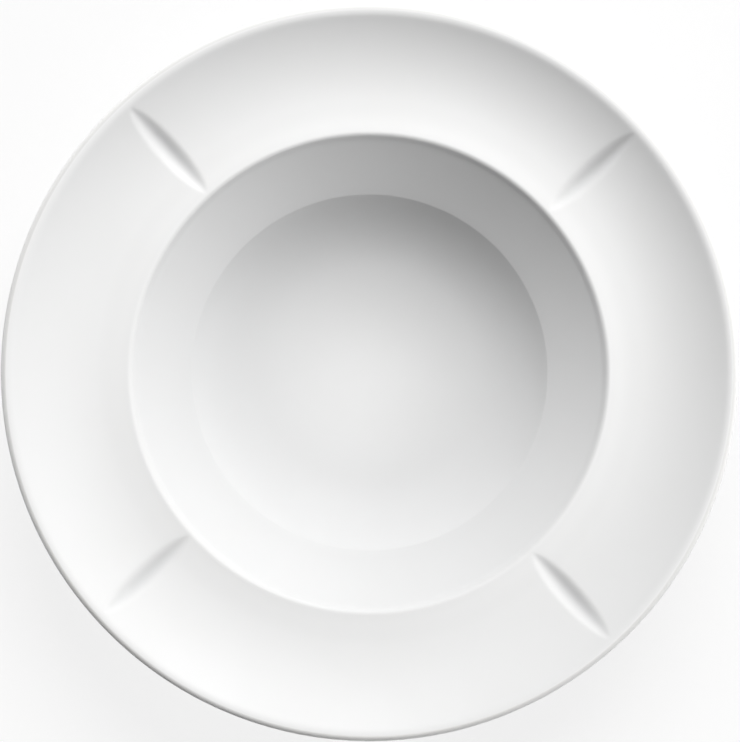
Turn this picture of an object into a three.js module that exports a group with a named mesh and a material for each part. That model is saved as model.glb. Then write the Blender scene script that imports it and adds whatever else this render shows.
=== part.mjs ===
// Pasta plate: a deep well in a wide concave rim that carries four pressed grooves, on a foot ring.
// A fired porcelain body has one glaze coat over all its outside and another inside the foot ring.
// The standing face between the two coats is bare. Millimetres, +Z up, and the origin is the centre
// of the foot ring on the standing plane.
import * as THREE from "three";

// Plan sizes of the glazed plate, as radii from its axis
const PLATE_RADIUS = 135;
const RIDGE_RADIUS = 88.5;
const WELL_FLOOR_RADIUS = 65.8;
const FLOOR_BEND_RADIUS = 40;
const FOOT_RADIUS = 47;

// Well: a dished floor, a round corner up to a crease, a slightly hollow wall and a short steep riser
const FLOOR_DISH_RADIUS = 200;
const CREASE_SLOPE = THREE.MathUtils.degToRad(50);
const WALL_FOOT_SLOPE = THREE.MathUtils.degToRad(30);
const WALL_TOP_SLOPE = THREE.MathUtils.degToRad(38);
const RISER_SLOPE = THREE.MathUtils.degToRad(49);
const RISER_HEIGHT = 1.2;
const RIDGE_ROUNDING = 2.4;

// Rim: a hollow of two arcs that meet on its lowest circle, this far outside the ridge, and a round lip
const RIDGE_TO_HOLLOW = 12.3;
const INNER_HOLLOW_RADIUS = 100;
const OUTER_HOLLOW_RADIUS = 67;
const LIP_SHOULDER_ROUNDING = 6;
const LIP_THICKNESS = 3.9;

// Grooves: ellipses in plan, on the diagonals, each a smooth trough with round shoulders
const GROOVE_COUNT = 4;
const GROOVE_BEARING = THREE.MathUtils.degToRad(45);
const GROOVE_RIDGE_GAP = 1;
const GROOVE_EDGE_GAP = 4.3;
const GROOVE_WIDTH = 9.9;
const GROOVE_DEPTH = 1.4;

// Thicknesses of the glazed wall, and of the glaze on it
const RIM_THICKNESS = 4.1;
const WALL_THICKNESS = 4.8;
const FLOOR_THICKNESS = 5.2;
const GLAZE_THICKNESS = 0.35;

// Foot ring and the recess inside it
const FOOT_FACE_WIDTH = 4.6;
const FOOT_TAPER = THREE.MathUtils.degToRad(8);
const FOOT_ROUNDING = 1.3;
const FOOT_GLAZE_STOP = 1.8;
const RECESS_CLEARANCE = 2.5;
const RECESS_FLAT_RADIUS = 22;
const UNDER_RIM_FILLET = 9;
const FOOT_OUTER_FILLET = 4;
const RECESS_FILLET = 2;
const RECESS_BLEND = 40;

// Fineness of the facets
const COLUMNS = 48;
const GROOVE_COLUMNS = [-1, -0.65, -0.3, 0, 0.3, 0.65, 1];
const DISH_STEPS = 2;
const CORNER_STEPS = 4;
const WALL_STEPS = 2;
const RIDGE_STEPS = 3;
const INNER_HOLLOW_STEPS = 2;
const OUTER_HOLLOW_STEPS = 5;
const SHOULDER_STEPS = 2;
const LIP_STEPS = 3;
const UNDER_RIM_STEPS = 2;
const UNDER_CORNER_STEPS = 2;
const FILLET_STEPS = 2;

const { sin, cos, tan, PI } = Math;
const UP = PI / 2;
const DOWN = -UP;
const point = (radius, height) => new THREE.Vector2(radius, height);

// A point on a circle about a centre, at an angle from the outward direction.
const onCircle = (centre, radius, angle) =>
  point(centre.x + radius * cos(angle), centre.y + radius * sin(angle));

// Points of an arc about a centre, first point left out.
function arc(centre, radius, from, to, steps) {
  const angleAt = (i) => from + ((to - from) * i) / steps;
  return Array.from({ length: steps }, (_, i) => onCircle(centre, radius, angleAt(i + 1)));
}

// Where a line through a point at a slope meets a height.
const atHeight = (start, slope, height) => point(start.x + (height - start.y) / tan(slope), height);

// An outline through corners { at, fillet }. A fillet is a quadratic curve between the points where an
// arc of its radius would start and end, and takes at most half of the shorter side beside it.
function rounded(corners) {
  const last = corners.length - 1;
  return corners.flatMap(({ at, fillet }, i) => {
    if (!fillet || i === 0 || i === last) return [at];
    const before = corners[i - 1].at.clone().sub(at);
    const after = corners[i + 1].at.clone().sub(at);
    const half = before.angleTo(after) / 2;
    const reach = Math.min(fillet / tan(half), before.length() / 2, after.length() / 2);
    const start = at.clone().addScaledVector(before.normalize(), reach);
    const end = at.clone().addScaledVector(after.normalize(), reach);
    return Array.from({ length: FILLET_STEPS + 1 }, (_, k) => {
      const share = k / FILLET_STEPS;
      const near = start.clone().lerp(at, share);
      return near.lerp(at.clone().lerp(end, share), share);
    });
  });
}

// Outline of the glazed plate, from the middle of the well over the lip to the middle of the recess.
// The bare standing face is at height zero, so under its missing glaze the outline is that much lower.
const standing = -GLAZE_THICKNESS;
const floorHeight = RECESS_CLEARANCE + FLOOR_THICKNESS;

// The corner leaves the dish at the bend, in the dish's direction there, and reaches the crease.
const bendSine = FLOOR_BEND_RADIUS / FLOOR_DISH_RADIUS;
const bendSlope = Math.asin(bendSine);
const dishCentre = point(0, floorHeight + FLOOR_DISH_RADIUS);
const cornerRadius = (WELL_FLOOR_RADIUS - FLOOR_BEND_RADIUS) / (sin(CREASE_SLOPE) - bendSine);
const cornerCentre = point(
  FLOOR_BEND_RADIUS - cornerRadius * bendSine,
  dishCentre.y - (FLOOR_DISH_RADIUS - cornerRadius) * cos(bendSlope),
);
const crease = point(WELL_FLOOR_RADIUS, cornerCentre.y - cornerRadius * cos(CREASE_SLOPE));

const riserTopRadius = RIDGE_RADIUS - RIDGE_ROUNDING * sin(RISER_SLOPE);
const riserFootRadius = riserTopRadius - RISER_HEIGHT / tan(RISER_SLOPE);
const wallRun = riserFootRadius - WELL_FLOOR_RADIUS;
const wallRadius = wallRun / (sin(WALL_TOP_SLOPE) - sin(WALL_FOOT_SLOPE));
const wallCentre = onCircle(crease, wallRadius, UP + WALL_FOOT_SLOPE);
const riserFoot = onCircle(wallCentre, wallRadius, DOWN + WALL_TOP_SLOPE);
const riserTop = point(riserTopRadius, riserFoot.y + RISER_HEIGHT);
const ridgeCentre = point(RIDGE_RADIUS, riserTop.y - RIDGE_ROUNDING * cos(RISER_SLOPE));

// The hollow touches the ridge's rounding at one end and the lip's shoulder at the other.
const hollowRadius = RIDGE_RADIUS + RIDGE_TO_HOLLOW;
const ridgeReach = INNER_HOLLOW_RADIUS + RIDGE_ROUNDING;
const ridgeSlope = Math.asin(RIDGE_TO_HOLLOW / ridgeReach);
const innerCentre = point(hollowRadius, ridgeCentre.y + ridgeReach * cos(ridgeSlope));
const outerCentre = point(hollowRadius, innerCentre.y - INNER_HOLLOW_RADIUS + OUTER_HOLLOW_RADIUS);
const lipRounding = LIP_THICKNESS / 2;
const lipRadius = PLATE_RADIUS - lipRounding;
const shoulderReach = OUTER_HOLLOW_RADIUS + LIP_SHOULDER_ROUNDING;
const shoulderSlope = Math.asin((lipRadius - hollowRadius) / shoulderReach);
const shoulderCentre = point(lipRadius, outerCentre.y - shoulderReach * cos(shoulderSlope));
const lipCentre = point(lipRadius, shoulderCentre.y + LIP_SHOULDER_ROUNDING - lipRounding);

function upperSide() {
  return [
    point(0, floorHeight),
    ...arc(dishCentre, FLOOR_DISH_RADIUS, DOWN, DOWN + bendSlope, DISH_STEPS),
    ...arc(cornerCentre, cornerRadius, DOWN + bendSlope, DOWN + CREASE_SLOPE, CORNER_STEPS),
    ...arc(wallCentre, wallRadius, DOWN + WALL_FOOT_SLOPE, DOWN + WALL_TOP_SLOPE, WALL_STEPS),
    riserTop,
    ...arc(ridgeCentre, RIDGE_ROUNDING, UP + RISER_SLOPE, UP - ridgeSlope, RIDGE_STEPS),
    ...arc(innerCentre, INNER_HOLLOW_RADIUS, DOWN - ridgeSlope, DOWN, INNER_HOLLOW_STEPS),
    ...arc(outerCentre, OUTER_HOLLOW_RADIUS, DOWN, DOWN + shoulderSlope, OUTER_HOLLOW_STEPS),
    ...arc(shoulderCentre, LIP_SHOULDER_ROUNDING, UP + shoulderSlope, UP, SHOULDER_STEPS),
  ];
}

// The outside of the well is a cone from below the riser, and then the corner's arc one floor thickness
// further out, which the cone touches, down to the foot.
const coneTop = onCircle(riserFoot, WALL_THICKNESS, DOWN + WALL_TOP_SLOPE);
const underCornerRadius = cornerRadius + FLOOR_THICKNESS;
const underCornerAngle = (radius) => -Math.acos((radius - cornerCentre.x) / underCornerRadius);
const underCornerHeight = (radius) => cornerCentre.y + underCornerRadius * sin(underCornerAngle(radius));
const towardsConeTop = coneTop.clone().sub(cornerCentre);
const touchAngle =
  Math.atan2(towardsConeTop.y, towardsConeTop.x) - Math.acos(underCornerRadius / towardsConeTop.length());
const coneSlope = touchAngle + UP;
const coneFoot = point(FOOT_RADIUS, underCornerHeight(FOOT_RADIUS));

// The foot ring's sides lean in towards its standing face.
const outerSide = (height) => point(FOOT_RADIUS - (coneFoot.y - height) * tan(FOOT_TAPER), height);
const footOuterFace = outerSide(standing);
const footInnerFace = point(footOuterFace.x - FOOT_FACE_WIDTH, standing);
const innerSide = (height) => point(footInnerFace.x - (height - standing) * tan(FOOT_TAPER), height);
const coatStop = outerSide(FOOT_GLAZE_STOP);
const recessStop = innerSide(FOOT_GLAZE_STOP);
const recessCorner = innerSide(underCornerHeight(footInnerFace.x));

function underSide() {
  const rimUnderRadius = OUTER_HOLLOW_RADIUS + RIM_THICKNESS;
  const hollowUnder = outerCentre.y - rimUnderRadius;
  const footAngle = underCornerAngle(FOOT_RADIUS);
  const underCorner = arc(cornerCentre, underCornerRadius, touchAngle, footAngle, UNDER_CORNER_STEPS);
  return [
    ...arc(lipCentre, lipRounding, UP, 0, LIP_STEPS),
    ...arc(lipCentre, lipRounding, 0, DOWN + shoulderSlope / 2, LIP_STEPS),
    onCircle(outerCentre, rimUnderRadius, DOWN + shoulderSlope),
    ...arc(outerCentre, rimUnderRadius, DOWN + shoulderSlope, DOWN, UNDER_RIM_STEPS),
    ...rounded([
      { at: point(hollowRadius, hollowUnder) },
      { at: atHeight(coneTop, coneSlope, hollowUnder), fillet: UNDER_RIM_FILLET },
      { at: onCircle(cornerCentre, underCornerRadius, touchAngle) },
      ...underCorner.slice(0, -1).map((at) => ({ at })),
      { at: coneFoot, fillet: FOOT_OUTER_FILLET },
      { at: coatStop },
      { at: footOuterFace, fillet: FOOT_ROUNDING },
      { at: footInnerFace, fillet: FOOT_ROUNDING },
      { at: recessStop },
      { at: recessCorner, fillet: RECESS_FILLET },
      { at: point(RECESS_FLAT_RADIUS, RECESS_CLEARANCE), fillet: RECESS_BLEND },
      { at: point(0, RECESS_CLEARANCE) },
    ]).slice(1),
  ];
}

// The same outline a distance further in. Its mirror image beyond the axis keeps its two ends there.
function inset(outline, distance) {
  const last = outline.length - 1;
  const normalAfter = (i) => {
    const step = outline[i + 1].clone().sub(outline[i]).normalize();
    return point(step.y, -step.x);
  };
  const mirrored = ({ x, y }) => point(-x, y);
  return outline.map((at, i) => {
    const before = i > 0 ? normalAfter(i - 1) : mirrored(normalAfter(0));
    const after = i < last ? normalAfter(i) : mirrored(before);
    const mitre = before.clone().add(after).divideScalar(1 + before.dot(after));
    return at.clone().addScaledVector(mitre, distance);
  });
}

// Columns of a ring at a radius: the plain ones, and more across each groove that the ring crosses. A
// groove's fullness falls from its middle to its tips. Its depth goes with the fullness, its width with
// the root of the fullness, and across it the depth is a raised cosine.
const grooveStart = RIDGE_RADIUS + GROOVE_RIDGE_GAP;
const grooveEnd = PLATE_RADIUS - GROOVE_EDGE_GAP;
const grooveMiddle = (grooveStart + grooveEnd) / 2;
const grooveHalf = (grooveEnd - grooveStart) / 2;
const grooveBearings = Array.from(
  { length: GROOVE_COUNT },
  (_, i) => GROOVE_BEARING + (i * 2 * PI) / GROOVE_COUNT,
);

function columnsAt(radius) {
  const along = (radius - grooveMiddle) / grooveHalf;
  const fullness = 1 - along * along;
  const plain = Array.from({ length: COLUMNS }, (_, i) => ({ angle: (i * 2 * PI) / COLUMNS, depth: 0 }));
  if (fullness <= 0) return plain;
  const halfAngle = (Math.sqrt(fullness) * GROOVE_WIDTH) / 2 / radius;
  const outside = plain.filter(({ angle }) =>
    grooveBearings.every((bearing) => Math.abs(angle - bearing) > halfAngle),
  );
  const across = grooveBearings.flatMap((bearing) =>
    GROOVE_COLUMNS.map((share) => ({
      angle: bearing + share * halfAngle,
      depth: (GROOVE_DEPTH * fullness * (1 + cos(PI * share))) / 2,
    })),
  );
  return [...outside, ...across].sort((a, b) => a.angle - b.angle);
}

// A ring of vertices at an outline point, one for each column, or one vertex on the axis.
function ring(at, columns) {
  const stops = at.x === 0 ? columns.slice(0, 1) : columns;
  return stops.map(({ angle, depth }) => ({
    angle,
    vertex: new THREE.Vector3(at.x * cos(angle), at.x * sin(angle), at.y - depth),
  }));
}

// Triangles between two rings, walked round together by angle, so that their columns may differ.
function band(first, second) {
  const faces = [];
  const steps = (loop) => (loop.length > 1 ? loop.length : 0);
  const angleAt = (loop, i) => (i < loop.length ? loop[i].angle : 2 * PI);
  const vertexAt = (loop, i) => loop[i % loop.length].vertex;
  let i = 0;
  let j = 0;
  while (i < steps(first) || j < steps(second)) {
    const secondIsDone = j >= steps(second);
    const firstIsNearer = angleAt(first, i + 1) < angleAt(second, j + 1);
    const firstIsNext = i < steps(first) && (secondIsDone || firstIsNearer);
    const next = firstIsNext ? vertexAt(first, i + 1) : vertexAt(second, j + 1);
    faces.push([vertexAt(first, i), vertexAt(second, j), next]);
    if (firstIsNext) i += 1;
    else j += 1;
  }
  return faces;
}

const skin = (rings) => rings.slice(1).flatMap((loop, i) => band(rings[i], loop));
const flipped = (faces) => faces.map(([a, b, c]) => [a, c, b]);

function piece(name, material, faces) {
  const geometry = new THREE.BufferGeometry().setFromPoints(faces.flat());
  geometry.computeVertexNormals();
  const mesh = new THREE.Mesh(geometry, material);
  mesh.name = name;
  return mesh;
}

// The glazed face and the body's own face have the same columns, so that coat and body meet all over.
const upper = upperSide();
const outline = [...upper, ...underSide()];
const columns = outline.map(({ x }, i) => columnsAt(i < upper.length ? x : 0));
const glazedRings = outline.map((at, i) => ring(at, columns[i]));
const bodyRings = inset(outline, GLAZE_THICKNESS).map((at, i) => ring(at, columns[i]));
const coatLast = outline.indexOf(coatStop);
const recessFirst = outline.indexOf(recessStop);

const coatBed = skin(bodyRings.slice(0, coatLast + 1));
const bareFoot = skin(bodyRings.slice(coatLast, recessFirst + 1));
const recessBed = skin(bodyRings.slice(recessFirst));
const coatFace = skin(glazedRings.slice(0, coatLast + 1));
const recessFace = skin(glazedRings.slice(recessFirst));
const coatEdge = band(glazedRings[coatLast], bodyRings[coatLast]);
const recessEdge = band(bodyRings[recessFirst], glazedRings[recessFirst]);

const porcelain = new THREE.MeshStandardMaterial({ color: 0xe8e4dc, roughness: 0.85, metalness: 0 });
const glaze = new THREE.MeshStandardMaterial({ color: 0xf3f3f2, roughness: 0.25, metalness: 0 });

const plate = new THREE.Group();
plate.add(
  piece("porcelain_body", porcelain, [...coatBed, ...bareFoot, ...recessBed]),
  piece("glaze_coat", glaze, [...coatFace, ...coatEdge, ...flipped(coatBed)]),
  piece("glaze_foot_recess", glaze, [...recessFace, ...recessEdge, ...flipped(recessBed)]),
);

export default plate;
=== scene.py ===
"""Pasta plate of glazed porcelain, built on its CAD frame, with the stage that it is shown on.

It is laid out as a Blender add-on and run as a script. Three turned surfaces stand for the frame's three
nodes: the fired body, the glaze coat over its outside, and the glaze inside the foot ring. Lengths are
metres, +Z is up, and the origin is the centre of the foot ring on the standing plane.
"""

import math
from typing import NamedTuple

import bpy
import numpy as np
from mathutils import Matrix, Vector


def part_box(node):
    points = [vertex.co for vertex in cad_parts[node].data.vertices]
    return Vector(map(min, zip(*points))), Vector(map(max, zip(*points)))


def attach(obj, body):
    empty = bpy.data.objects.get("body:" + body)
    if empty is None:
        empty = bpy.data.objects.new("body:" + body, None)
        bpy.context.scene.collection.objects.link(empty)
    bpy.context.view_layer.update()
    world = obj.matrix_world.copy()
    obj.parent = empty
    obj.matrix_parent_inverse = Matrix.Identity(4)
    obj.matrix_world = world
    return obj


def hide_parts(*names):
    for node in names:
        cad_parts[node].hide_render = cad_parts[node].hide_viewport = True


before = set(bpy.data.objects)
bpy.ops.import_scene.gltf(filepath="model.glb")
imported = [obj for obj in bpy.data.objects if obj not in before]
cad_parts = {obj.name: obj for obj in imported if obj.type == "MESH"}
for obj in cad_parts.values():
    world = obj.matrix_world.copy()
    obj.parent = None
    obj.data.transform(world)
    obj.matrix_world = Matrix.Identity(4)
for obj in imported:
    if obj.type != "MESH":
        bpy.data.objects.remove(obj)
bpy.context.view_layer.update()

bl_info = {
    "name": "Pasta Plate",
    "version": (1, 0, 0),
    "blender": (4, 5, 0),
    "location": "3D View > Sidebar > Plate",
    "description": "Builds a glazed porcelain pasta plate on its CAD frame, and the stage it stands on",
    "category": "Add Mesh",
}

BODY = "root"
# Name of the mesh attribute that carries the painted shade into the glaze's colour
PAINTED_SHADE_ATTRIBUTE = "glaze_pool"

# Fineness of the surfaces
ARC_POINTS = 48
OUTLINE_STEP = 0.00005
GLAZE_LONGEST_STEP = 0.0025
GLAZE_GROOVE_STEP = 0.0009
GLAZE_TURN = math.radians(4.5)
BED_LONGEST_STEP = 0.006
BED_GROOVE_STEP = 0.003
BED_TURN = math.radians(12)
SHORTEST_STEP = 0.00012
SECTOR_COLUMNS = 86
SECTOR_EVENNESS = 0.12
SHARP_ANGLE = math.radians(50)

# Reach of the melt's mean, in widths of the melt
MELT_REACH = 3

# Waves in which the glaze's edge strays, as weight, number round the plate and phase, and the length over
# which they fade out, in lengths of the bead
WANDER_WAVES = np.array([[0.5, 5, 0.4], [0.3, 11, 2.1], [0.2, 23, 0]])
WANDER_FADE = 2.83

# Width of the painted highlight, a band of plain white colour along the ridge's outer side, in roundings of
# # the ridge
CREST_HIGHLIGHT_SPREAD = 1.41

# Levels of noise between which clouds, toasting and scuffs rise
CLOUD_RISE = (0.35, 0.7)
TOAST_RISE = (0.4, 0.75)
SCUFF_RISE = (0.3, 0.6)

# Places of the Mix node's colour sockets
MIX_FIRST_COLOUR = 6
MIX_SECOND_COLOUR = 7
MIX_RESULT_COLOUR = 2

SOFTBOXES = ("key", "side", "fill")
WHITE = (1, 1, 1, 1)
MILLIMETRES = 1000

# The picture's frame, and the lip's outer circle in it, in pixels
PICTURE_WIDTH = 740
PICTURE_HEIGHT = 742
LIP_CENTRE_X = 369.4
LIP_CENTRE_Y = 372.6
LIP_RADIUS = 368.7

UP = math.pi / 2
DOWN = -math.pi / 2


def length(name, description, default):
    """A property for a length in metres."""
    return bpy.props.FloatProperty(
        name=name, description=description, default=default, min=0, precision=5, unit="LENGTH"
    )


def angle(name, description, degrees):
    """A property for an angle, with its default in degrees."""
    return bpy.props.FloatProperty(
        name=name, description=description, default=math.radians(degrees), subtype="ANGLE"
    )


def share(name, description, default):
    """A property for a share between none and all."""
    return bpy.props.FloatProperty(
        name=name, description=description, default=default, min=0, max=1, subtype="FACTOR"
    )


def number(name, description, default):
    """A property for a plain number."""
    return bpy.props.FloatProperty(name=name, description=description, default=default)


def colour(name, description, default):
    """A property for a linear colour."""
    return bpy.props.FloatVectorProperty(
        name=name, description=description, default=default, size=3, min=0, max=1, subtype="COLOR"
    )


class PlateShape(bpy.types.PropertyGroup):
    """Sizes of the glazed plate's outline."""

    plate_radius: length("Plate", "Axis to the lip's outer edge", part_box("glaze_coat")[1].x)
    ridge_radius: length("Ridge", "Axis to the crest between well and rim", 0.0885)
    well_floor_radius: length("Well floor", "Axis to the crease at the foot of the wall", 0.0658)
    floor_bend_radius: length("Floor bend", "Axis to where the dished floor bends up", 0.04)
    foot_radius: length("Foot", "Axis to the top of the foot ring's outer side", 0.047)
    floor_dish_radius: length("Floor dish", "Radius of the floor's shallow dish", 0.2)
    crease_slope: angle("Crease slope", "Slope of the floor's corner at the crease", 50)
    wall_foot_slope: angle("Wall foot slope", "Slope of the wall just above the crease", 30)
    wall_top_slope: angle("Wall top slope", "Slope of the wall at the riser's foot", 38)
    riser_slope: angle("Riser slope", "Slope of the step below the ridge", 49)
    riser_height: length("Riser", "Height of the step below the ridge", 0.0012)
    ridge_rounding: length("Ridge rounding", "Radius of the ridge's crest", 0.0024)
    ridge_to_hollow: length("Ridge to hollow", "Ridge to the rim's lowest circle", 0.0123)
    inner_hollow_radius: length("Inner hollow", "Radius of the rim between ridge and lowest circle", 0.1)
    outer_hollow_radius: length("Outer hollow", "Radius of the rim beyond its lowest circle", 0.067)
    shoulder_rounding: length("Lip shoulder", "Radius of the bend from rim to lip", 0.006)
    lip_thickness: length("Lip", "Thickness of the lip", 0.0039)
    rim_thickness: length("Rim thickness", "Thickness of the rim", 0.0041)
    wall_thickness: length("Wall thickness", "Thickness of the wall below the riser", 0.0048)
    floor_thickness: length("Floor thickness", "Thickness of the floor in the middle", 0.0052)
    glaze_thickness: length("Glaze", "Thickness of the glaze", 0.00035)
    foot_face_width: length("Foot face", "Width of the foot ring at the standing plane", 0.0046)
    foot_taper: angle("Foot taper", "Lean of the foot ring's sides", 8)
    foot_rounding: length("Foot rounding", "Radius of the foot ring's edges", 0.0013)
    foot_glaze_stop: length("Glaze stop", "Height at which the glaze ends on the foot ring", 0.0018)
    recess_clearance: length("Recess", "Height of the recess over the standing plane", 0.0025)
    recess_flat_radius: length("Recess flat", "Radius of the recess's flat middle", 0.022)
    under_rim_fillet: length("Under-rim fillet", "Radius between wall and rim underneath", 0.009)
    foot_outer_fillet: length("Foot fillet", "Radius outside the top of the foot ring", 0.004)
    recess_fillet: length("Recess fillet", "Radius inside the top of the foot ring", 0.002)
    recess_blend: length("Recess blend", "Radius round the recess's flat middle", 0.04)
    melt: length("Melt", "Width over which the molten glaze rounds every edge", 0.00035)
    glaze_bead: length("Glaze bead", "Length of the rounded end of the glaze", 0.0007)
    glaze_wander: length("Glaze wander", "How far the glaze's edge strays up and down", 0.00025)


class GrooveShape(bpy.types.PropertyGroup):
    """Sizes of the lens-shaped grooves that are pressed into the rim."""

    count: bpy.props.IntProperty(name="Grooves", description="Number of grooves", default=4, min=1)
    bearing: angle("Bearing", "Direction of the first groove from +X", 45)
    ridge_gap: length("Ridge gap", "Ridge to the groove's inner tip", 0.001)
    edge_gap: length("Edge gap", "Groove's outer tip to the plate's edge", 0.0043)
    width: length("Width", "Widest part of a groove", 0.0099)
    depth: length("Depth", "Depth in the middle of a groove", 0.0014)


class GlazeFinish(bpy.types.PropertyGroup):
    """Look of the fired glaze."""

    white: colour("White", "Glaze of plain thickness", (0.905, 0.905, 0.902))
    # Painted shade: the grey that the glaze's colour takes where the shares below paint shade into it
    painted_shade: colour("Pooled", "Glaze that ran together and lies thick", (0.655, 0.657, 0.658))
    # A warm edge where the glaze is thin, made darker than the white so that it also paints shade on the
    # lip's edge
    thin: colour("Thin", "Glaze drawn thin over edges", (0.7, 0.693, 0.675))
    # Painted shade: the well darker, lighter in the floor's middle and darker in the floor's corner
    well_shade: share("Well", "How thick the glaze lies in the well", 0.735)
    middle_lightening: share("Floor middle", "How much thinner it lies in the middle of the floor", 0.43)
    corner_shade: share("Floor corner", "How much thicker it lies in the floor's corner", 0.2)
    # The rim's colour painted darker away from the ridge, which leaves a painted highlight along its crest
    rim_shade: share("Rim", "How thick it lies on the rim away from the ridge", 0.15)
    # Painted shade: upright faces outside the well and the riser below the ridge darker
    slope_shade: share("Slopes", "How thick it lies on an upright face outside the well", 0.8)
    # Painted shade in the grooves, darker towards their valleys
    groove_shade: share("Grooves", "How much thicker it lies in a groove's middle", 0.7)
    clouded: colour("Clouded", "Faint clouds in the white", (0.897, 0.896, 0.891))
    cloud_size: length("Clouds", "Size of the clouds", 0.03)
    roughness: share("Roughness", "Roughness of the fired surface", 0.56)
    roughness_range: share("Roughness range", "How far the roughness strays", 0.08)
    gloss: share("Gloss", "Strength of the reflection", 0.2)
    peel_size: length("Peel", "Size of the orange-peel texture", 0.0022)
    peel_depth: length("Peel depth", "Depth of the orange-peel texture", 0.000003)
    wave_size: length("Waves", "Size of the surface's slow waves", 0.028)
    wave_depth: length("Wave depth", "Depth of the surface's slow waves", 0.00006)
    pinhole_spacing: length("Pinholes", "Distance between pinholes", 0.011)
    pinhole_share: share("Pinhole share", "Share of the places that have a pinhole", 0.3)
    pinhole_radius: length("Pinhole radius", "Radius of a pinhole", 0.0003)
    pinhole_depth: length("Pinhole depth", "Depth of a pinhole", 0.00002)


class PorcelainFinish(bpy.types.PropertyGroup):
    """Look of the bare fired body on the foot ring."""

    bisque: colour("Bisque", "Bare fired porcelain", (0.74, 0.71, 0.65))
    toasted: colour("Toasted", "Bare porcelain that the kiln's fire has toasted", (0.66, 0.6, 0.52))
    scuffed: colour("Scuffed", "Standing face greyed by use", (0.56, 0.54, 0.51))
    scuff_height: length("Scuff height", "Height that the scuffs reach", 0.00025)
    scuff_size: length("Scuffs", "Size of the scuffs", 0.003)
    toast_size: length("Toasting", "Size of the toasted patches", 0.009)
    grain_size: length("Grain", "Size of the body's grain", 0.0005)
    grain_depth: length("Grain depth", "Depth of the body's grain", 0.00002)
    roughness: share("Roughness", "Roughness of the bare body", 0.78)
    scuffed_roughness: share("Scuffed roughness", "Roughness of the scuffed face", 0.55)
    gloss: share("Gloss", "Strength of the reflection", 0.25)


class StageSettings(bpy.types.PropertyGroup):
    """Floor, light and camera."""

    floor_colour: colour("Floor", "Colour of the floor", (0.9, 0.9, 0.9))
    floor_size: length("Floor size", "Side of the floor", 8.0)
    floor_glow: share("Floor white", "Share of plain white in the floor's picture", 0.82)
    ambient: number("Ambient", "Light from all round", 0.03)
    key_level: number("Key level", "Light of the key softbox on a white face turned to it", 1.05)
    key_bearing: angle("Key bearing", "Direction of the key softbox in the picture, from its right", 78)
    key_elevation: angle("Key elevation", "Height of the key softbox over the floor", 45)
    key_size: length("Key size", "Width of the key softbox", 4.0)
    side_level: number("Side level", "Light of the side softbox on a white face turned to it", 0.5)
    side_bearing: angle("Side bearing", "Direction of the side softbox in the picture", -18)
    side_elevation: angle("Side elevation", "Height of the side softbox over the floor", 15)
    side_size: length("Side size", "Width of the side softbox", 2.4)
    fill_level: number("Fill level", "Light of the fill softbox on a white face turned to it", 0.12)
    fill_bearing: angle("Fill bearing", "Direction of the fill softbox in the picture", 165)
    fill_elevation: angle("Fill elevation", "Height of the fill softbox over the floor", 35)
    fill_size: length("Fill size", "Width of the fill softbox", 3.0)
    lamp_distance: length("Lamp distance", "Distance of the softboxes from the plate", 5.0)
    camera_distance: length("Camera distance", "Distance of the camera from the lip", 2.0)
    camera_turn: angle("Camera turn", "Turn of the camera about the plate's axis", 2.9)
    sensor: length("Sensor", "Longer side of the camera's sensor", 0.036)


def point(radius, height):
    """A point of the outline."""
    return np.array([radius, height])


def direction(bearing):
    """Unit vector at an angle from the outward direction: its cosine and its sine."""
    return np.array([math.cos(bearing), math.sin(bearing)])


def bell(offset, width):
    """A Gaussian of the offset over the width, which is one where there is no offset."""
    return np.exp(-((offset / width) ** 2) / 2)


def arc(centre, radius, start, end):
    """Points of an arc: the centre plus the radius times the directions from angle start to angle end."""
    bearing = np.linspace(start, end, ARC_POINTS)[:, None]
    return centre + radius * np.hstack([np.cos(bearing), np.sin(bearing)])


def fillet(before, corner, after, radius):
    """A round corner: a quadratic curve from where an arc of the radius would start to where it would end.

    Each side gives up at most half of its length, and the corner is the curve's middle control point.
    """
    to_before = before - corner
    to_after = after - corner
    before_length = np.linalg.norm(to_before)
    after_length = np.linalg.norm(to_after)
    half_angle = math.acos(to_before @ to_after / before_length / after_length) / 2
    reach = min(radius / math.tan(half_angle), before_length / 2, after_length / 2)
    start = corner + to_before * reach / before_length
    end = corner + to_after * reach / after_length
    way = np.linspace(0, 1, ARC_POINTS)[:, None]
    return (1 - way) ** 2 * start + 2 * way * (1 - way) * corner + way**2 * end


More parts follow.
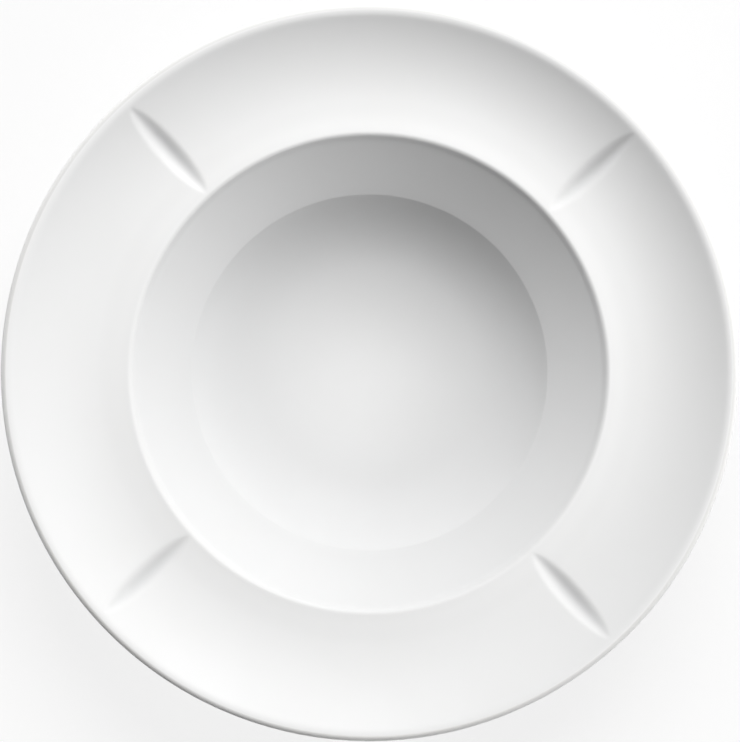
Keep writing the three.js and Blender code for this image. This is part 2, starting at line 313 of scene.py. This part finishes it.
def drawn_outline(shape):
    """Outline of the glazed plate, from the middle of the well over the lip to the middle of the recess.

    The dish and the floor's corner are arcs, tangent to each other, and so are the ridge, the two arcs of
    the rim's hollow, the shoulder and the lip. Between them the wall is a shallow arc that meets the corner
    in a crease, and the riser is straight. Underneath, an arc follows the rim, a cone the wall and an arc
    the floor's corner, down to a foot ring with leaning sides. The bare standing face is at height zero, and
    the outline, which has glaze everywhere, lies one glaze thickness below it there.
    """
    standing = -shape.glaze_thickness
    floor_height = shape.recess_clearance + shape.floor_thickness

    bend_sine = shape.floor_bend_radius / shape.floor_dish_radius
    bend_slope = math.asin(bend_sine)
    dish_centre = point(0, floor_height + shape.floor_dish_radius)
    corner_sine = math.sin(shape.crease_slope) - bend_sine
    corner_radius = (shape.well_floor_radius - shape.floor_bend_radius) / corner_sine
    corner_centre = dish_centre + (shape.floor_dish_radius - corner_radius) * direction(DOWN + bend_slope)
    crease = corner_centre + corner_radius * direction(DOWN + shape.crease_slope)

    riser_run = shape.riser_height / math.tan(shape.riser_slope)
    riser_top_radius = shape.ridge_radius - shape.ridge_rounding * math.sin(shape.riser_slope)
    wall_run = riser_top_radius - riser_run - shape.well_floor_radius
    wall_radius = wall_run / (math.sin(shape.wall_top_slope) - math.sin(shape.wall_foot_slope))
    wall_centre = crease - wall_radius * direction(DOWN + shape.wall_foot_slope)
    riser_foot = wall_centre + wall_radius * direction(DOWN + shape.wall_top_slope)
    riser_top = riser_foot + point(riser_run, shape.riser_height)
    ridge_centre = riser_top - shape.ridge_rounding * direction(UP + shape.riser_slope)

    ridge_reach = shape.inner_hollow_radius + shape.ridge_rounding
    ridge_slope = math.asin(shape.ridge_to_hollow / ridge_reach)
    inner_centre = ridge_centre + ridge_reach * direction(UP - ridge_slope)
    outer_centre = inner_centre + point(0, shape.outer_hollow_radius - shape.inner_hollow_radius)
    lip_rounding = shape.lip_thickness / 2
    shoulder_reach = shape.outer_hollow_radius + shape.shoulder_rounding
    shoulder_slope = math.asin((shape.plate_radius - lip_rounding - outer_centre[0]) / shoulder_reach)
    shoulder_centre = outer_centre + shoulder_reach * direction(DOWN + shoulder_slope)
    lip_centre = shoulder_centre + point(0, shape.shoulder_rounding - lip_rounding)

    cone_top = riser_foot + shape.wall_thickness * direction(DOWN + shape.wall_top_slope)
    under_corner_radius = corner_radius + shape.floor_thickness
    to_cone_top = cone_top - corner_centre
    touch_lead = math.acos(under_corner_radius / np.linalg.norm(to_cone_top))
    touch_angle = math.atan2(to_cone_top[1], to_cone_top[0]) - touch_lead
    touch = corner_centre + under_corner_radius * direction(touch_angle)
    foot_angle = -math.acos((shape.foot_radius - corner_centre[0]) / under_corner_radius)
    cone_foot = corner_centre + under_corner_radius * direction(foot_angle)
    above_foot = cone_foot + shape.foot_outer_fillet * direction(foot_angle + UP)
    above_foot_angle = foot_angle + shape.foot_outer_fillet / under_corner_radius

    rim_under_radius = shape.outer_hollow_radius + shape.rim_thickness
    under_hollow = outer_centre + rim_under_radius * direction(DOWN)
    cone_run = (under_hollow[1] - cone_top[1]) / math.tan(touch_angle + UP)
    under_rim_corner = point(cone_top[0] + cone_run, under_hollow[1])

    lean = math.tan(shape.foot_taper)
    foot_outer = cone_foot - (cone_foot[1] - standing) * point(lean, 1)
    foot_inner = foot_outer - point(shape.foot_face_width, 0)
    recess_drop = math.sqrt(under_corner_radius**2 - (foot_inner[0] - corner_centre[0]) ** 2)
    recess_corner = foot_inner + (corner_centre[1] - recess_drop - standing) * point(-lean, 1)
    recess_edge = point(shape.recess_flat_radius, shape.recess_clearance)
    recess_middle = point(0, shape.recess_clearance)

    return np.vstack([
        arc(dish_centre, shape.floor_dish_radius, DOWN, DOWN + bend_slope),
        arc(corner_centre, corner_radius, DOWN + bend_slope, DOWN + shape.crease_slope),
        arc(wall_centre, wall_radius, DOWN + shape.wall_foot_slope, DOWN + shape.wall_top_slope),
        riser_top,
        arc(ridge_centre, shape.ridge_rounding, UP + shape.riser_slope, UP - ridge_slope),
        arc(inner_centre, shape.inner_hollow_radius, DOWN - ridge_slope, DOWN),
        arc(outer_centre, shape.outer_hollow_radius, DOWN, DOWN + shoulder_slope),
        arc(shoulder_centre, shape.shoulder_rounding, UP + shoulder_slope, UP),
        arc(lip_centre, lip_rounding, UP, DOWN + shoulder_slope / 2),
        arc(outer_centre, rim_under_radius, DOWN + shoulder_slope, DOWN),
        fillet(under_hollow, under_rim_corner, touch, shape.under_rim_fillet),
        arc(corner_centre, under_corner_radius, touch_angle, above_foot_angle),
        fillet(above_foot, cone_foot, foot_outer, shape.foot_outer_fillet),
        fillet(cone_foot, foot_outer, foot_inner, shape.foot_rounding),
        fillet(foot_outer, foot_inner, recess_corner, shape.foot_rounding),
        fillet(foot_inner, recess_corner, recess_edge, shape.recess_fillet),
        fillet(recess_corner, recess_edge, recess_middle, shape.recess_blend),
        recess_middle,
    ])


class Outline(NamedTuple):
    """An outline by the length along it, and the lengths at which its zones meet."""

    length: np.ndarray
    radius: np.ndarray
    height: np.ndarray
    normal_radius: np.ndarray
    normal_height: np.ndarray
    curvature: np.ndarray
    lip: float
    coat_stop: float
    recess_stop: float

    def at(self, values, length):
        """One of the outline's rows of values, read at some lengths."""
        return np.interp(length, self.length, values)


def melted_outline(shape):
    """The drawn outline with even spacing and with its edges melted round.

    The outline is mirrored beyond both of its ends on the axis, and each point becomes the mean of its
    neighbours along the outline, weighted by a Gaussian of the melt's width. The normal points out of the
    plate, and the curvature is the turn of the outline for each length, positive in hollows.
    """
    drawn = drawn_outline(shape)
    steps = np.hypot(*np.diff(drawn, axis=0).T)
    drawn_length = np.concatenate([[0], np.cumsum(steps)])
    even = np.linspace(0, drawn_length[-1], round(drawn_length[-1] / OUTLINE_STEP) + 1)
    reach = round(MELT_REACH * shape.melt / OUTLINE_STEP)
    weight = bell(np.arange(-reach, reach + 1) * OUTLINE_STEP, shape.melt)
    weight /= weight.sum()
    radius = np.pad(np.interp(even, drawn_length, drawn[:, 0]), reach, mode="reflect", reflect_type="odd")
    height = np.pad(np.interp(even, drawn_length, drawn[:, 1]), reach, mode="reflect")
    radius = np.convolve(radius, weight, "valid")
    height = np.convolve(height, weight, "valid")
    radius[[0, -1]] = 0

    along_radius = np.gradient(radius, even)
    along_height = np.gradient(height, even)
    speed = np.hypot(along_radius, along_height)
    heading = np.unwrap(np.arctan2(along_height, along_radius))
    below_stop = np.flatnonzero(height < shape.foot_glaze_stop)
    return Outline(
        length=even,
        radius=radius,
        height=height,
        normal_radius=-along_height / speed,
        normal_height=along_radius / speed,
        curvature=np.gradient(heading, even),
        lip=even[np.argmax(height)],
        coat_stop=even[below_stop[0]],
        recess_stop=even[below_stop[-1]],
    )


def ring_lengths(outline, span, start, end, longest, groove_step, turn):
    """Lengths along the outline, from start to end, at which a surface has its rings.

    Rings lie as densely as the outline turns, never further apart than longest, or than groove_step where
    the upper side carries the grooves, over their span of radii. They are even steps of the summed density.
    """
    inner, outer = span
    pick = (outline.length >= start) & (outline.length <= end)
    along = outline.length[pick]
    radius = outline.radius[pick]
    grooved = (along < outline.lip) & (radius > inner) & (radius < outer)
    widest = np.where(grooved, groove_step, longest)
    density = np.maximum(np.abs(outline.curvature[pick]) / turn, 1 / widest)
    density = np.minimum(density, 1 / SHORTEST_STEP)
    total = np.concatenate([[0], np.cumsum((density[1:] + density[:-1]) / 2 * np.diff(along))])
    count = math.ceil(total[-1]) + 1
    return np.interp(np.linspace(0, total[-1], count), total, along)


def grooves_span(shape, grooves):
    """Radii of the inner and the outer tips of the grooves."""
    return shape.ridge_radius + grooves.ridge_gap, shape.plate_radius - grooves.edge_gap


def column_angles(grooves):
    """Angles of the columns of every ring.

    Each groove has a sector of its own. In it the columns are at v times the half sector, crowded on the
    groove by the cubic k v + (1 - k) v^3 of an even v from -1 to 1, where k is the evenness.
    """
    sector = 2 * math.pi / grooves.count
    even = np.linspace(-1, 1, SECTOR_COLUMNS, endpoint=False)
    crowded = SECTOR_EVENNESS * even + (1 - SECTOR_EVENNESS) * even**3
    bearings = grooves.bearing + sector * np.arange(grooves.count)
    return (bearings[:, None] + crowded * sector / 2).ravel()


def groove_depth(shape, grooves, radius, bearing):
    """Depth of the pressed grooves at radii and bearings.

    A groove's fullness is one minus the square of the way from its middle to its tips. Its depth goes with
    the fullness and its half-width with the root of the fullness, so that its outline is an ellipse. Across
    the groove the depth is a raised cosine, full in the valley and nothing at the shoulders.
    """
    inner, outer = grooves_span(shape, grooves)
    along = (radius - (inner + outer) / 2) / ((outer - inner) / 2)
    fullness = np.maximum(1 - along**2, 0)
    sector = 2 * math.pi / grooves.count
    off_valley = (bearing - grooves.bearing + sector / 2) % sector - sector / 2
    half_width = np.maximum(np.sqrt(fullness) * grooves.width / 2, OUTLINE_STEP)
    across = np.minimum(np.abs(radius * off_valley) / half_width, 1)
    return grooves.depth * fullness * (1 + np.cos(math.pi * across)) / 2


def wandering(shape, outline, lengths, bearing):
    """Lengths of the rings at every bearing, with the glaze's two edges straying up and down.

    Near each edge a sum of sine waves round the plate is added to the length, fading out as a bell curve.
    """
    weight, count, phase = WANDER_WAVES.T[:, :, None]
    waves = (weight * np.sin(count * bearing + phase)).sum(axis=0)
    fade_width = WANDER_FADE * shape.glaze_bead
    near_coat = bell(lengths - outline.coat_stop, fade_width)
    near_recess = bell(lengths - outline.recess_stop, fade_width)
    return lengths[:, None] + shape.glaze_wander * np.outer(near_coat - near_recess, waves)


def face_rings(shape, grooves, outline, lengths, glazed):
    """Points of a face on rings at some lengths, as an array of rings by columns by XYZ.

    The body's face is the outline moved in by the glaze's thickness. A glazed face stands out from it
    again by that thickness, which falls to nothing as a quarter of an ellipse at the glaze's edge. The
    grooves are pressed straight down into the upper side of both.
    """
    bearing = column_angles(grooves)
    where = wandering(shape, outline, lengths, bearing)
    thickness = -shape.glaze_thickness
    if glazed:
        to_coat_stop = lengths - outline.coat_stop
        to_recess_stop = lengths - outline.recess_stop
        from_edge = np.maximum(-to_coat_stop, to_recess_stop)
        bead = 1 - np.clip(from_edge / shape.glaze_bead, 0, 1)
        thickness = shape.glaze_thickness * (np.sqrt(1 - bead**2) - 1)[:, None]
    radius = outline.at(outline.radius, where) + thickness * outline.at(outline.normal_radius, where)
    height = outline.at(outline.height, where) + thickness * outline.at(outline.normal_height, where)
    on_axis = (lengths == outline.length[0]) | (lengths == outline.length[-1])
    radius[on_axis] = 0
    pressed = groove_depth(shape, grooves, radius, bearing)
    height = height - np.where((lengths < outline.lip)[:, None], pressed, 0)
    return np.stack([radius * np.cos(bearing), radius * np.sin(bearing), height], axis=-1)


def turned_mesh(name, rings):
    """A closed mesh from rings of points, the first and the last of which are single points on the axis.

    Neighbouring rings are joined by four-sided faces, and the two end points by fans. The faces point out
    where the rings run outwards on top and inwards underneath.
    """
    middle = rings[1:-1]
    ring_count, column_count = middle.shape[:2]
    points = np.vstack([rings[:1, 0], middle.reshape(-1, 3), rings[-1:, 0]])
    grid = 1 + np.arange(ring_count * column_count).reshape(ring_count, column_count)
    turned = np.roll(grid, -1, axis=1)
    quads = np.stack([grid[:-1], grid[1:], turned[1:], turned[:-1]], axis=-1).reshape(-1, 4)
    first_point = np.zeros(column_count, int)
    last_point = np.full(column_count, len(points) - 1)
    first_fan = np.stack([first_point, grid[0], turned[0]], axis=-1)
    last_fan = np.stack([grid[-1], last_point, turned[-1]], axis=-1)
    mesh = bpy.data.meshes.new(name)
    mesh.from_pydata(points.tolist(), [], quads.tolist() + first_fan.tolist() + last_fan.tolist())
    mesh.validate()
    mesh.shade_smooth()
    mesh.set_sharp_from_angle(angle=SHARP_ANGLE)
    return mesh


def painted_shading(finish, shape, grooves, outline, lengths):
    """Painted shade in the glaze's colour, on rings by columns: 1 for the full shade colour, -1 for the thin
    colour of the lip's edge.

    In the well the colour is painted darker, from a little below the ridge, by the hyperbolic tangent of the
    depth there. By bell curves half as wide as the dish and the corner it is lighter in the middle of the
    floor and darker in its corner, where shade falls. Outside the well it is darker away from the ridge's
    outer side, by one less a bell curve, which leaves a painted highlight along the crest, and darker on
    upright faces, by the slope's sine. Beyond the rim's lowest circle it takes the thin colour on edges
    about as tight as the lip's, by the curvature times the lip's thickness: a warm edge of thin glaze,
    darkened as painted shade. In the grooves it is darker, by their depth, as painted shade in the hollows.
    """
    height = outline.at(outline.height, lengths)
    radius = outline.at(outline.radius, lengths)
    on_top = lengths < outline.lip

    # Painted shade in the well: darker with depth, lighter in the floor's middle, darker in its corner
    in_well = on_top & (radius < shape.ridge_radius)
    depth = np.where(in_well, height[in_well].max() - height, 0)
    filled = np.tanh(depth / shape.riser_height)
    middle = bell(radius, shape.floor_bend_radius / 2)
    corner_half = (shape.well_floor_radius - shape.floor_bend_radius) / 2
    corner = bell(radius - shape.floor_bend_radius - corner_half, corner_half)
    inside = finish.well_shade - finish.middle_lightening * middle + finish.corner_shade * corner

    # Painted highlight: less painted shade in a band along the ridge's outer side
    crest_radius = shape.ridge_radius + shape.ridge_rounding
    crest = bell(radius - crest_radius, CREST_HIGHLIGHT_SPREAD * shape.ridge_rounding)
    # Painted shade on upright faces, by the slope's sine
    steep = np.abs(outline.at(outline.normal_radius, lengths))
    # The lip's edge: a warm edge of thin glaze, darkened as painted shade
    sharp = np.clip(-outline.at(outline.curvature, lengths) * shape.lip_thickness - 1, 0, 1)
    thin = np.where(radius > shape.ridge_radius + shape.ridge_to_hollow, sharp, 0)
    outside = finish.rim_shade * (1 - crest) + finish.slope_shade * steep - thin

    # Painted shade in the grooves, by their depth
    pressed = groove_depth(shape, grooves, radius[:, None], column_angles(grooves)) / grooves.depth
    pressed = np.where(on_top[:, None], pressed, 0)
    shade_level = filled * inside + (1 - filled) * outside
    return np.minimum(shade_level[:, None] + finish.groove_shade * pressed, 1)


def store_painted_shading(mesh, shade_level):
    """Stores on the mesh's points the shade painted into the glaze's colour on its first rings.

    The first ring is one point. The rings of the bed that follow, out of sight, get none.
    """
    shade_amount = np.zeros(len(mesh.vertices), np.float32)
    seen = np.concatenate([shade_level[0, :1], shade_level[1:].ravel()])
    shade_amount[: seen.size] = seen
    attribute = mesh.attributes.new(PAINTED_SHADE_ATTRIBUTE, "FLOAT", "POINT")
    attribute.data.foreach_set("value", shade_amount)


class Socket:
    """An output socket in a shader expression. Arithmetic on it adds Math nodes to its tree."""

    def __init__(self, tree, socket):
        self.tree = tree
        self.socket = socket

    def math(self, operation, first, second):
        return self.tree.node("ShaderNodeMath", {"operation": operation}, {0: first, 1: second})

    def __add__(self, other):
        return self.math("ADD", self, other)

    def __radd__(self, other):
        return self.math("ADD", other, self)

    def __sub__(self, other):
        return self.math("SUBTRACT", self, other)

    def __rsub__(self, other):
        return self.math("SUBTRACT", other, self)

    def __mul__(self, other):
        return self.math("MULTIPLY", self, other)

    def __rmul__(self, other):
        return self.math("MULTIPLY", other, self)

    def __neg__(self):
        return self.math("MULTIPLY", self, -1)

    def at_least(self, other):
        return self.math("MAXIMUM", self, other)

    def above(self, other):
        return self.math("GREATER_THAN", self, other)


class ShaderTree:
    """The emptied node tree of a material or a world."""

    def __init__(self, owner):
        owner.use_nodes = True
        self.tree = owner.node_tree
        self.tree.nodes.clear()

    def node(self, kind, settings=None, inputs=None, output=0):
        """Adds a node of a kind with its settings, fills its inputs and returns one of its outputs."""
        made = self.tree.nodes.new(kind)
        for name, value in (settings or {}).items():
            setattr(made, name, value)
        for name, value in (inputs or {}).items():
            if isinstance(value, Socket):
                self.tree.links.new(value.socket, made.inputs[name])
            else:
                made.inputs[name].default_value = value
        return Socket(self, made.outputs[output]) if made.outputs else None

    def noise(self, place, size, detail):
        """Noise between 0 and 1 whose patches have a size in metres."""
        inputs = {"Vector": place, "Scale": 1 / size, "Detail": detail}
        return self.node("ShaderNodeTexNoise", {}, inputs, "Fac")

    def mix(self, amount, first, second):
        """The first colour turned into the second by an amount."""
        inputs = {"Factor": amount, MIX_FIRST_COLOUR: first, MIX_SECOND_COLOUR: second}
        return self.node("ShaderNodeMix", {"data_type": "RGBA"}, inputs, MIX_RESULT_COLOUR)

    def rise(self, value, start, end):
        """A smooth step from 0 to 1 as a value goes from start to end."""
        inputs = {"Value": value, "From Min": start, "From Max": end}
        return self.node("ShaderNodeMapRange", {"interpolation_type": "SMOOTHSTEP"}, inputs)

    def surface(self, shader):
        """Makes a shader the one that is seen."""
        self.node("ShaderNodeOutputMaterial", {}, {"Surface": shader})

    def ceramic(self, base, roughness, gloss, relief):
        """Makes a ceramic the one that is seen, with a relief in metres."""
        inputs = {
            "Base Color": base,
            "Roughness": roughness,
            "Specular IOR Level": gloss,
            "Normal": self.node("ShaderNodeBump", {}, {"Height": relief, "Distance": 1.0}),
        }
        self.surface(self.node("ShaderNodeBsdfPrincipled", {}, inputs))


def opaque(rgb):
    """A colour property as red, green, blue and full alpha."""
    return (*rgb, 1)


def glaze_material(finish):
    """White glaze over a skin like orange peel, with shade painted into its colour: a cool grey in the well,
    on upright faces and in the grooves, and a warm grey where thin glaze meets the lip's edge.

    Faint clouds vary its colour and its roughness. Its bump is the sum of slow waves, the peel and a few
    pinholes, in metres.
    """
    material = bpy.data.materials.new("fired_glaze")
    tree = ShaderTree(material)
    place = tree.node("ShaderNodeTexCoord", output="Object")
    shade_amount = tree.node("ShaderNodeAttribute", {"attribute_name": PAINTED_SHADE_ATTRIBUTE}, output="Fac")
    cloud = tree.rise(tree.noise(place, finish.cloud_size, detail=3), *CLOUD_RISE)
    peel = tree.noise(place, finish.peel_size, detail=1)
    wave = tree.noise(place, finish.wave_size, detail=1)

    clouded = tree.mix(cloud, opaque(finish.white), opaque(finish.clouded))
    # Painted shade: the stored amount mixes the white toward the shade colour
    painted_shade = tree.mix(shade_amount.at_least(0), clouded, opaque(finish.painted_shade))
    # The lip's edge takes the thin colour: thin glaze and painted shade
    seen = tree.mix((-shade_amount).at_least(0), painted_shade, opaque(finish.thin))
    roughness = finish.roughness + (cloud - 0.5) * finish.roughness_range

    cell = {"Vector": place, "Scale": 1 / finish.pinhole_spacing}
    cell_distance = tree.node("ShaderNodeTexVoronoi", {}, cell, "Distance")
    cell_colour = tree.node("ShaderNodeTexVoronoi", {}, cell, "Color")
    cell_chance = tree.node("ShaderNodeSeparateColor", {}, {"Color": cell_colour}, "Red")
    pinhole_edge = finish.pinhole_radius / finish.pinhole_spacing
    pinhole = (1 - tree.rise(cell_distance, 0, pinhole_edge)) * cell_chance.above(1 - finish.pinhole_share)

    relief = peel * finish.peel_depth + wave * finish.wave_depth - pinhole * finish.pinhole_depth
    tree.ceramic(seen, roughness, finish.gloss, relief)
    return material


def porcelain_material(finish):
    """Bare fired porcelain: matt, grainy, toasted in patches, and greyed and smoothed where it stands."""
    material = bpy.data.materials.new("bare_porcelain")
    tree = ShaderTree(material)
    place = tree.node("ShaderNodeTexCoord", output="Object")
    height = tree.node("ShaderNodeSeparateXYZ", {}, {"Vector": place}, "Z")
    toast = tree.rise(tree.noise(place, finish.toast_size, detail=4), *TOAST_RISE)
    grain = tree.noise(place, finish.grain_size, detail=3)
    standing = 1 - tree.rise(height, 0, finish.scuff_height)
    scuff = standing * tree.rise(tree.noise(place, finish.scuff_size, detail=5), *SCUFF_RISE)

    toasted = tree.mix(toast, opaque(finish.bisque), opaque(finish.toasted))
    seen = tree.mix(scuff, toasted, opaque(finish.scuffed))
    roughness = finish.roughness + scuff * (finish.scuffed_roughness - finish.roughness)
    relief = grain * (1 - scuff) * finish.grain_depth
    tree.ceramic(seen, roughness, finish.gloss, relief)
    return material


def add_piece(context, mesh, material, node):
    """Puts a finished mesh into the scene in place of its CAD node."""
    piece = bpy.data.objects.new(mesh.name, mesh)
    mesh.materials.append(material)
    context.scene.collection.objects.link(piece)
    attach(piece, BODY)
    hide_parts(node)


def plate_form(context):
    """The plate's sizes, its grooves' sizes and its melted outline."""
    shape = context.scene.plate_shape
    return shape, context.scene.plate_grooves, melted_outline(shape)


def bed_lengths(shape, grooves, outline, start, end):
    """Lengths of the coarser rings on which the body and the glaze meet."""
    span = grooves_span(shape, grooves)
    return ring_lengths(outline, span, start, end, BED_LONGEST_STEP, BED_GROOVE_STEP, BED_TURN)


def glaze_lengths(shape, grooves, outline, start, end):
    """Lengths of the fine rings of a glazed face."""
    span = grooves_span(shape, grooves)
    return ring_lengths(outline, span, start, end, GLAZE_LONGEST_STEP, GLAZE_GROOVE_STEP, GLAZE_TURN)


class PLATE_OT_porcelain_body(bpy.types.Operator):
    """Turn the fired body, whose foot ring is bare"""

    bl_idname = "plate.porcelain_body"
    bl_label = "Porcelain body"

    def execute(self, context):
        shape, grooves, outline = plate_form(context)
        end = outline.length[-1]
        under_coat = bed_lengths(shape, grooves, outline, 0, outline.coat_stop)
        bare_foot = glaze_lengths(shape, grooves, outline, outline.coat_stop, outline.recess_stop)
        in_recess = bed_lengths(shape, grooves, outline, outline.recess_stop, end)
        lengths = np.concatenate([under_coat, bare_foot[1:-1], in_recess])
        mesh = turned_mesh("fired_body", face_rings(shape, grooves, outline, lengths, glazed=False))
        material = porcelain_material(context.scene.plate_porcelain)
        add_piece(context, mesh, material, "porcelain_body")
        return {"FINISHED"}


class PLATE_OT_glaze_coat(bpy.types.Operator):
    """Turn the glaze over the well, the rim and the outside, down to the foot ring"""

    bl_idname = "plate.glaze_coat"
    bl_label = "Glaze coat"

    def execute(self, context):
        shape, grooves, outline = plate_form(context)
        outside = glaze_lengths(shape, grooves, outline, 0, outline.coat_stop)
        bed = bed_lengths(shape, grooves, outline, 0, outline.coat_stop)[-2::-1]
        face = face_rings(shape, grooves, outline, outside, glazed=True)
        back = face_rings(shape, grooves, outline, bed, glazed=False)
        mesh = turned_mesh("glaze_over_plate", np.concatenate([face, back]))
        finish = context.scene.plate_glaze
        store_painted_shading(mesh, painted_shading(finish, shape, grooves, outline, outside))
        material = glaze_material(finish)
        add_piece(context, mesh, material, "glaze_coat")
        return {"FINISHED"}


class PLATE_OT_recess_glaze(bpy.types.Operator):
    """Turn the glaze inside the foot ring"""

    bl_idname = "plate.recess_glaze"
    bl_label = "Recess glaze"

    def execute(self, context):
        shape, grooves, outline = plate_form(context)
        end = outline.length[-1]
        bed = bed_lengths(shape, grooves, outline, outline.recess_stop, end)[:0:-1]
        outside = glaze_lengths(shape, grooves, outline, outline.recess_stop, end)
        back = face_rings(shape, grooves, outline, bed, glazed=False)
        face = face_rings(shape, grooves, outline, outside, glazed=True)
        mesh = turned_mesh("glaze_in_foot_ring", np.concatenate([back, face]))
        material = glaze_material(context.scene.plate_glaze)
        add_piece(context, mesh, material, "glaze_foot_recess")
        return {"FINISHED"}


def seen_directly(tree):
    """1 for rays of the camera, of reflections and of clear glass, and 0 for rays that carry light."""
    camera = tree.node("ShaderNodeLightPath", output="Is Camera Ray")
    glossy = tree.node("ShaderNodeLightPath", output="Is Glossy Ray")
    clear = tree.node("ShaderNodeLightPath", output="Is Transmission Ray")
    return camera.at_least(glossy).at_least(clear)


def floor_material(stage):
    """Pale matt floor that the camera sees mostly as plain white, so that a soft shadow is left."""
    material = bpy.data.materials.new("pale_floor")
    tree = ShaderTree(material)
    matt = tree.node("ShaderNodeBsdfDiffuse", {}, {"Color": opaque(stage.floor_colour)})
    white = tree.node("ShaderNodeEmission", {}, {"Color": WHITE, "Strength": 1.0})
    amount = seen_directly(tree) * stage.floor_glow
    tree.surface(tree.node("ShaderNodeMixShader", {}, {0: amount, 1: matt, 2: white}))
    return material


def add_floor(context, stage):
    """A square floor at the standing plane."""
    half = stage.floor_size / 2
    corners = [(-half, -half, 0), (half, -half, 0), (half, half, 0), (-half, half, 0)]
    mesh = bpy.data.meshes.new("floor")
    mesh.from_pydata(corners, [], [(0, 1, 2, 3)])
    mesh.materials.append(floor_material(stage))
    floor = bpy.data.objects.new("floor", mesh)
    context.scene.collection.objects.link(floor)


def light_world(context, stage):
    """A world that is white to the camera and gives a weak light from all round."""
    world = bpy.data.worlds.new("studio")
    context.scene.world = world
    tree = ShaderTree(world)
    strength = stage.ambient + seen_directly(tree) * (1 - stage.ambient)
    background = tree.node("ShaderNodeBackground", {}, {"Color": WHITE, "Strength": strength})
    tree.node("ShaderNodeOutputWorld", {}, {"Surface": background})


def add_softbox(context, stage, name):
    """A round softbox at its bearing in the picture and its elevation, turned to the plate.

    Its power is its level times pi squared times its squared distance to its edge, which lights a white face
    that is turned to it to that level.
    """
    settings = ("bearing", "elevation", "size", "level")
    bearing, elevation, size, level = (getattr(stage, f"{name}_{setting}") for setting in settings)
    heading = bearing + stage.camera_turn
    flat = math.cos(elevation)
    away = Vector((flat * math.cos(heading), flat * math.sin(heading), math.sin(elevation)))
    lamp = bpy.data.lights.new(f"{name}_softbox", "AREA")
    lamp.shape = "DISK"
    lamp.size = size
    lamp.energy = level * math.pi**2 * (stage.lamp_distance**2 + (size / 2) ** 2)
    softbox = bpy.data.objects.new(lamp.name, lamp)
    softbox.location = away * stage.lamp_distance
    softbox.rotation_mode = "QUATERNION"
    softbox.rotation_quaternion = away.to_track_quat("Z", "Y")
    softbox.visible_camera = False
    context.scene.collection.objects.link(softbox)


def add_camera(context, stage, shape):
    """A camera straight above the plate that frames it as the picture does.

    The lip's circle has a known radius and centre in the picture. The radius gives the lens, and the centre
    gives the camera's small offset from the plate's axis.
    """
    outline = melted_outline(shape)
    lip_height = outline.height[np.argmax(outline.radius)]
    scale = shape.plate_radius / LIP_RADIUS
    data = bpy.data.cameras.new("camera")
    data.sensor_width = stage.sensor * MILLIMETRES
    data.lens = data.sensor_width * stage.camera_distance / (scale * max(PICTURE_WIDTH, PICTURE_HEIGHT))
    offset_right = (PICTURE_WIDTH / 2 - LIP_CENTRE_X) * scale
    offset_up = (LIP_CENTRE_Y - PICTURE_HEIGHT / 2) * scale
    turn = Matrix.Rotation(stage.camera_turn, 4, "Z")
    place = turn @ Vector((offset_right, offset_up, lip_height + stage.camera_distance))
    camera = bpy.data.objects.new("camera", data)
    camera.matrix_world = Matrix.Translation(place) @ turn
    context.scene.collection.objects.link(camera)
    context.scene.camera = camera


class PLATE_OT_stage(bpy.types.Operator):
    """Set the pale floor, the studio light and the camera"""

    bl_idname = "plate.stage"
    bl_label = "Stage"

    def execute(self, context):
        stage = context.scene.plate_stage
        add_floor(context, stage)
        light_world(context, stage)
        for name in SOFTBOXES:
            add_softbox(context, stage, name)
        add_camera(context, stage, context.scene.plate_shape)
        context.scene.view_settings.view_transform = "Standard"
        return {"FINISHED"}


SETTINGS = {
    "plate_shape": PlateShape,
    "plate_grooves": GrooveShape,
    "plate_glaze": GlazeFinish,
    "plate_porcelain": PorcelainFinish,
    "plate_stage": StageSettings,
}
OPERATORS = (PLATE_OT_porcelain_body, PLATE_OT_glaze_coat, PLATE_OT_recess_glaze, PLATE_OT_stage)


class VIEW3D_PT_pasta_plate(bpy.types.Panel):
    """Lists the plate's pieces and settings"""

    bl_label = "Pasta plate"
    bl_space_type = "VIEW_3D"
    bl_region_type = "UI"
    bl_category = "Plate"

    def draw(self, context):
        for operator in OPERATORS:
            self.layout.operator(operator.bl_idname)
        for name, group in SETTINGS.items():
            box = self.layout.box()
            box.label(text=group.__doc__)
            for setting in group.__annotations__:
                box.prop(getattr(context.scene, name), setting)


def register():
    for group in SETTINGS.values():
        bpy.utils.register_class(group)
    for operator in OPERATORS:
        bpy.utils.register_class(operator)
    bpy.utils.register_class(VIEW3D_PT_pasta_plate)
    for name, group in SETTINGS.items():
        setattr(bpy.types.Scene, name, bpy.props.PointerProperty(type=group))


def unregister():
    for name in SETTINGS:
        delattr(bpy.types.Scene, name)
    bpy.utils.unregister_class(VIEW3D_PT_pasta_plate)
    for operator in reversed(OPERATORS):
        bpy.utils.unregister_class(operator)
    for group in reversed(SETTINGS.values()):
        bpy.utils.unregister_class(group)


def main():
    register()
    bpy.ops.plate.porcelain_body()
    bpy.ops.plate.glaze_coat()
    bpy.ops.plate.recess_glaze()
    bpy.ops.plate.stage()


if __name__ == "__main__":
    main()
